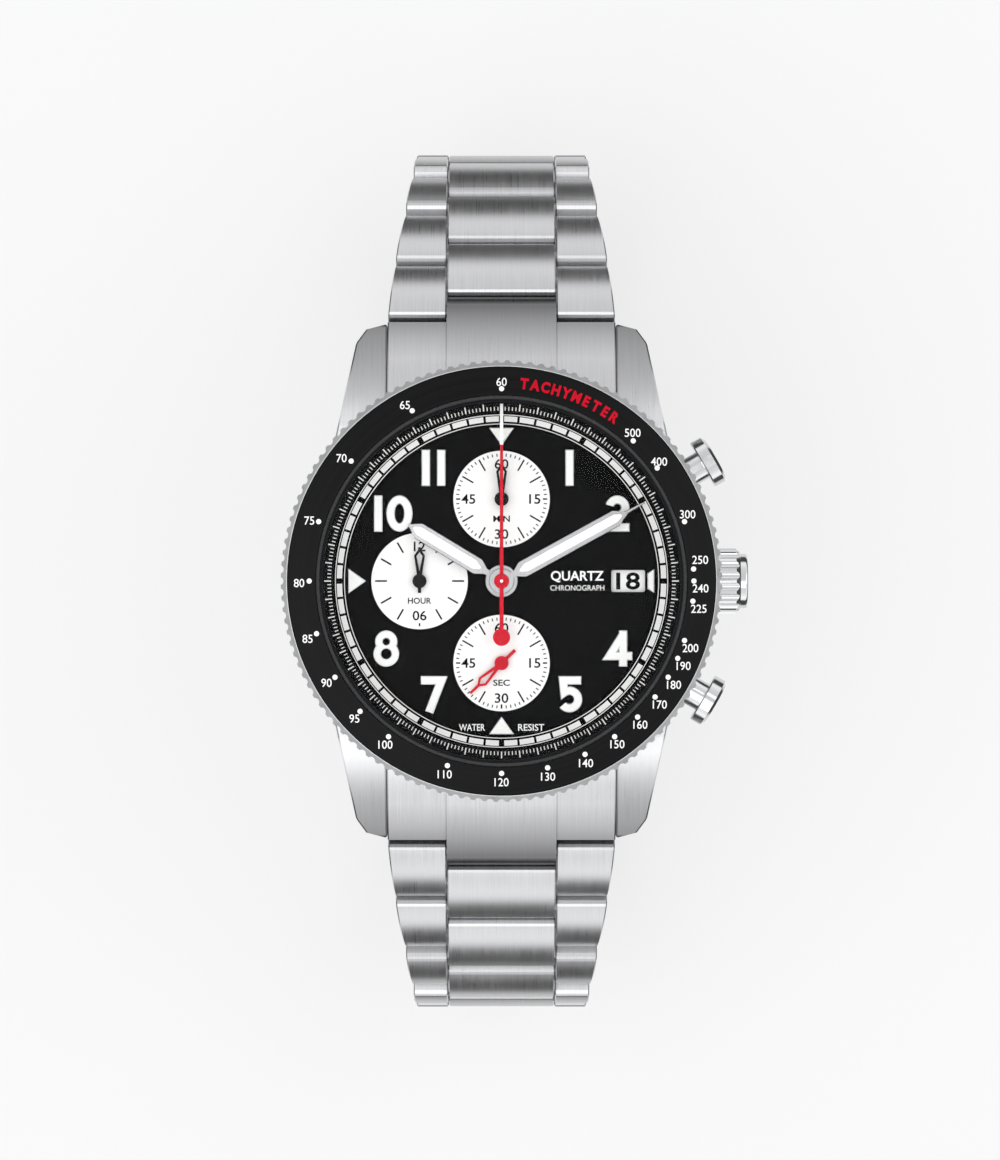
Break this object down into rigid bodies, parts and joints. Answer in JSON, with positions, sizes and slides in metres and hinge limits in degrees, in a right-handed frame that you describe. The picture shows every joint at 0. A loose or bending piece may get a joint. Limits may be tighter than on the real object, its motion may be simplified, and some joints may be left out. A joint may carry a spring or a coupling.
{
  "type": "chronograph wristwatch",
  "caption": "Round steel chronograph wristwatch with black tachymeter bezel, black dial with small white dials, crown, pushers and link bracelet with folding clasp.",
  "frame": {"origin": "centre of the case back's flat outer face", "axes": "+Z out of the dial, +Y to 12 o'clock along the bracelet, +X to 3 o'clock and the crown"},
  "size_m": [0.0448, 0.0868, 0.0521],
  "materials": {
    "brushed_steel": "satin",
    "polished_steel": "polished",
    "hand_steel": "polished",
    "insert_black": "satin",
    "crystal_glass": "polished",
    "seal_rubber": "matte",
    "ring_black": "matte",
    "dial_black": "satin",
    "white_enamel": "satin",
    "lume_white": "matte",
    "hand_red": "gloss",
    "hand_black": "satin",
    "movement_brass": "satin",
    "coil_copper": "gloss",
    "cell_steel": "satin",
    "board_green": "satin",
    "holder_plastic": "matte"
  },
  "bodies": {
    "case": {"case_middle": "brushed_steel", "end_links": "brushed_steel", "lug_spring_bars": "polished_steel", "caseback": "brushed_steel", "caseback_screws": "polished_steel", "caseback_gasket": "seal_rubber", "bezel": "polished_steel", "bezel_insert": "insert_black", "crystal": "crystal_glass", "crystal_gasket": "seal_rubber", "chapter_ring": "ring_black", "dial": "dial_black", "subdial_plates": "white_enamel", "hour_markers": "hand_steel", "hour_marker_lume": "lume_white", "movement_plate": "movement_brass", "motor_coils": "coil_copper", "battery": "cell_steel", "circuit_board": "board_green", "battery_strap": "cell_steel", "movement_holder": "holder_plastic", "side_tubes": "polished_steel", "pusher_2_spring": "polished_steel", "pusher_4_spring": "polished_steel"},
    "hour_hand": {"hour_hand": "hand_steel"},
    "minute_hand": {"minute_hand": "hand_steel"},
    "chrono_seconds_hand": {"chrono_seconds_hand": "hand_red"},
    "minute_counter_hand": {"minute_counter_hand": "hand_black"},
    "hour_counter_hand": {"hour_counter_hand": "hand_black"},
    "small_seconds_hand": {"small_seconds_hand": "hand_red"},
    "date_disc": {"date_disc": "white_enamel"},
    "crown_slide": {"crown_gasket": "seal_rubber"},
    "crown": {"crown": "polished_steel", "crown_stem": "polished_steel"},
    "pusher_2": {"pusher_2": "polished_steel"},
    "pusher_4": {"pusher_4": "polished_steel"},
    "link_12_1": {"link_12_1": "brushed_steel"},
    "link_12_2": {"link_12_2": "brushed_steel"},
    "link_12_3": {"link_12_3": "brushed_steel"},
    "link_12_4": {"link_12_4": "brushed_steel"},
    "link_12_5": {"link_12_5": "brushed_steel"},
    "link_12_6": {"link_12_6": "brushed_steel"},
    "link_12_7": {"link_12_7": "brushed_steel"},
    "link_12_8": {"link_12_8": "brushed_steel"},
    "link_12_9": {"link_12_9": "brushed_steel"},
    "link_6_1": {"link_6_1": "brushed_steel"},
    "link_6_2": {"link_6_2": "brushed_steel"},
    "link_6_3": {"link_6_3": "brushed_steel"},
    "link_6_4": {"link_6_4": "brushed_steel"},
    "link_6_5": {"link_6_5": "brushed_steel"},
    "link_6_6": {"link_6_6": "brushed_steel"},
    "link_6_7": {"link_6_7": "brushed_steel"},
    "link_6_8": {"link_6_8": "brushed_steel"},
    "clasp_blade_inner": {"clasp_blade_inner": "brushed_steel", "clasp_blade_pins": "polished_steel"},
    "clasp_blade_outer": {"clasp_blade_outer": "brushed_steel"},
    "clasp_cover": {"clasp_cover": "brushed_steel", "clasp_cover_pin": "polished_steel"},
    "clasp_button_left": {"clasp_button_left": "polished_steel"},
    "clasp_button_right": {"clasp_button_right": "polished_steel"}
  },
  "joints": [
    {"name": "small_seconds_spin", "type": "hinge", "parent": "case", "child": "small_seconds_hand", "pos_m": [0, -0.0079, 0.0073], "axis": [0, 0, -1], "continuous": true},
    {"name": "minute_hand_spin", "type": "hinge", "parent": "case", "child": "minute_hand", "pos_m": [0, 0, 0.0081], "axis": [0, 0, -1], "continuous": true},
    {"name": "hour_hand_spin", "type": "hinge", "parent": "case", "child": "hour_hand", "pos_m": [0, 0, 0.0077], "axis": [0, 0, -1], "continuous": true},
    {"name": "date_disc_spin", "type": "hinge", "parent": "case", "child": "date_disc", "pos_m": [0, 0, 0.0063], "axis": [0, 0, -1], "continuous": true},
    {"name": "chrono_seconds_spin", "type": "hinge", "parent": "case", "child": "chrono_seconds_hand", "pos_m": [0, 0, 0.0085], "axis": [0, 0, -1], "continuous": true},
    {"name": "minute_counter_spin", "type": "hinge", "parent": "case", "child": "minute_counter_hand", "pos_m": [0, 0.0079, 0.0073], "axis": [0, 0, -1], "continuous": true},
    {"name": "hour_counter_spin", "type": "hinge", "parent": "case", "child": "hour_counter_hand", "pos_m": [-0.0079, 0, 0.0073], "axis": [0, 0, -1], "continuous": true},
    {"name": "crown_pull", "type": "slide", "parent": "case", "child": "crown_slide", "axis": [1, 0, 0], "range_m": [0, 0.0015]},
    {"name": "crown_turn", "type": "hinge", "parent": "crown_slide", "child": "crown", "pos_m": [0.022, 0, 0.0046], "axis": [1, 0, 0], "continuous": true},
    {"name": "pusher_2_press", "type": "slide", "parent": "case", "child": "pusher_2", "axis": [-0.866, -0.5, 0], "range_m": [0, 0.001], "stiffness_N_per_m": 2000, "springref_m": -0.001, "deforming": ["pusher_2_spring"]},
    {"name": "pusher_4_press", "type": "slide", "parent": "case", "child": "pusher_4", "axis": [-0.866, 0.5, 0], "range_m": [0, 0.001], "stiffness_N_per_m": 2000, "springref_m": -0.001, "deforming": ["pusher_4_spring"]},
    {"name": "link_12_1_hinge", "type": "hinge", "parent": "case", "child": "link_12_1", "pos_m": [0, 0.0262, 0.0025], "axis": [1, 0, 0], "range_deg": [0, 24.1]},
    {"name": "link_12_2_hinge", "type": "hinge", "parent": "link_12_1", "child": "link_12_2", "pos_m": [0, 0.03178, -0.00172], "axis": [1, 0, 0], "range_deg": [0, 8.1]},
    {"name": "link_12_3_hinge", "type": "hinge", "parent": "link_12_2", "child": "link_12_3", "pos_m": [0, 0.03689, -0.00651], "axis": [1, 0, 0], "range_deg": [0, 17.3]},
    {"name": "link_12_4_hinge", "type": "hinge", "parent": "link_12_3", "child": "link_12_4", "pos_m": [0, 0.04054, -0.01248], "axis": [1, 0, 0], "range_deg": [0, 22.5]},
    {"name": "link_12_5_hinge", "type": "hinge", "parent": "link_12_4", "child": "link_12_5", "pos_m": [0, 0.04188, -0.01935], "axis": [1, 0, 0], "range_deg": [0, 24]},
    {"name": "link_12_6_hinge", "type": "hinge", "parent": "link_12_5", "child": "link_12_6", "pos_m": [0, 0.04054, -0.02623], "axis": [1, 0, 0], "range_deg": [0, 24]},
    {"name": "link_12_7_hinge", "type": "hinge", "parent": "link_12_6", "child": "link_12_7", "pos_m": [0, 0.03673, -0.0321], "axis": [1, 0, 0], "range_deg": [0, 24]},
    {"name": "link_12_8_hinge", "type": "hinge", "parent": "link_12_7", "child": "link_12_8", "pos_m": [0, 0.031, -0.03611], "axis": [1, 0, 0], "range_deg": [0, 21]},
    {"name": "link_12_9_hinge", "type": "hinge", "parent": "link_12_8", "child": "link_12_9", "pos_m": [0, 0.02427, -0.03804], "axis": [1, 0, 0], "range_deg": [0, 18]},
    {"name": "link_6_1_hinge", "type": "hinge", "parent": "case", "child": "link_6_1", "pos_m": [0, -0.0262, 0.0025], "axis": [-1, 0, 0], "range_deg": [0, 24.1]},
    {"name": "link_6_2_hinge", "type": "hinge", "parent": "link_6_1", "child": "link_6_2", "pos_m": [0, -0.03178, -0.00172], "axis": [-1, 0, 0], "range_deg": [0, 8.1]},
    {"name": "link_6_3_hinge", "type": "hinge", "parent": "link_6_2", "child": "link_6_3", "pos_m": [0, -0.03689, -0.00651], "axis": [-1, 0, 0], "range_deg": [0, 17.3]},
    {"name": "link_6_4_hinge", "type": "hinge", "parent": "link_6_3", "child": "link_6_4", "pos_m": [0, -0.04054, -0.01248], "axis": [-1, 0, 0], "range_deg": [0, 22.5]},
    {"name": "link_6_5_hinge", "type": "hinge", "parent": "link_6_4", "child": "link_6_5", "pos_m": [0, -0.04188, -0.01935], "axis": [-1, 0, 0], "range_deg": [0, 24]},
    {"name": "link_6_6_hinge", "type": "hinge", "parent": "link_6_5", "child": "link_6_6", "pos_m": [0, -0.04054, -0.02623], "axis": [-1, 0, 0], "range_deg": [0, 24]},
    {"name": "link_6_7_hinge", "type": "hinge", "parent": "link_6_6", "child": "link_6_7", "pos_m": [0, -0.03673, -0.0321], "axis": [-1, 0, 0], "range_deg": [0, 24]},
    {"name": "link_6_8_hinge", "type": "hinge", "parent": "link_6_7", "child": "link_6_8", "pos_m": [0, -0.031, -0.03611], "axis": [-1, 0, 0], "range_deg": [0, 21]},
    {"name": "clasp_swing", "type": "hinge", "parent": "link_6_8", "child": "clasp_blade_inner", "pos_m": [0, -0.02427, -0.03804], "axis": [-1, 0, 0], "range_deg": [0, 30]},
    {"name": "clasp_open", "type": "hinge", "parent": "clasp_blade_inner", "child": "clasp_blade_outer", "pos_m": [0, 0.01147, -0.03798], "axis": [1, 0, 0], "range_deg": [0, 135]},
    {"name": "clasp_cover_fold", "type": "hinge", "parent": "clasp_blade_outer", "child": "clasp_cover", "pos_m": [0, -0.02037, -0.03866], "axis": [1, 0, 0], "range_deg": [-135, 0]},
    {"name": "clasp_button_right_press", "type": "slide", "parent": "clasp_cover", "child": "clasp_button_right", "axis": [-1, 0, 0], "range_m": [0, 0.0005], "stiffness_N_per_m": 2000, "springref_m": -0.0005},
    {"name": "clasp_button_left_press", "type": "slide", "parent": "clasp_cover", "child": "clasp_button_left", "axis": [1, 0, 0], "range_m": [0, 0.0005], "stiffness_N_per_m": 2000, "springref_m": -0.0005}
  ],
  "couplings": [
    {"joint": "minute_hand_spin", "follows": "hour_hand_spin", "ratio": 12},
    {"joint": "small_seconds_spin", "follows": "hour_hand_spin", "ratio": 720},
    {"joint": "date_disc_spin", "follows": "hour_hand_spin", "ratio": 0.016129},
    {"joint": "minute_counter_spin", "follows": "chrono_seconds_spin", "ratio": 0.016667},
    {"joint": "hour_counter_spin", "follows": "chrono_seconds_spin", "ratio": 0.0013889},
    {"joint": "clasp_cover_fold", "follows": "clasp_open", "ratio": -1}
  ]
}
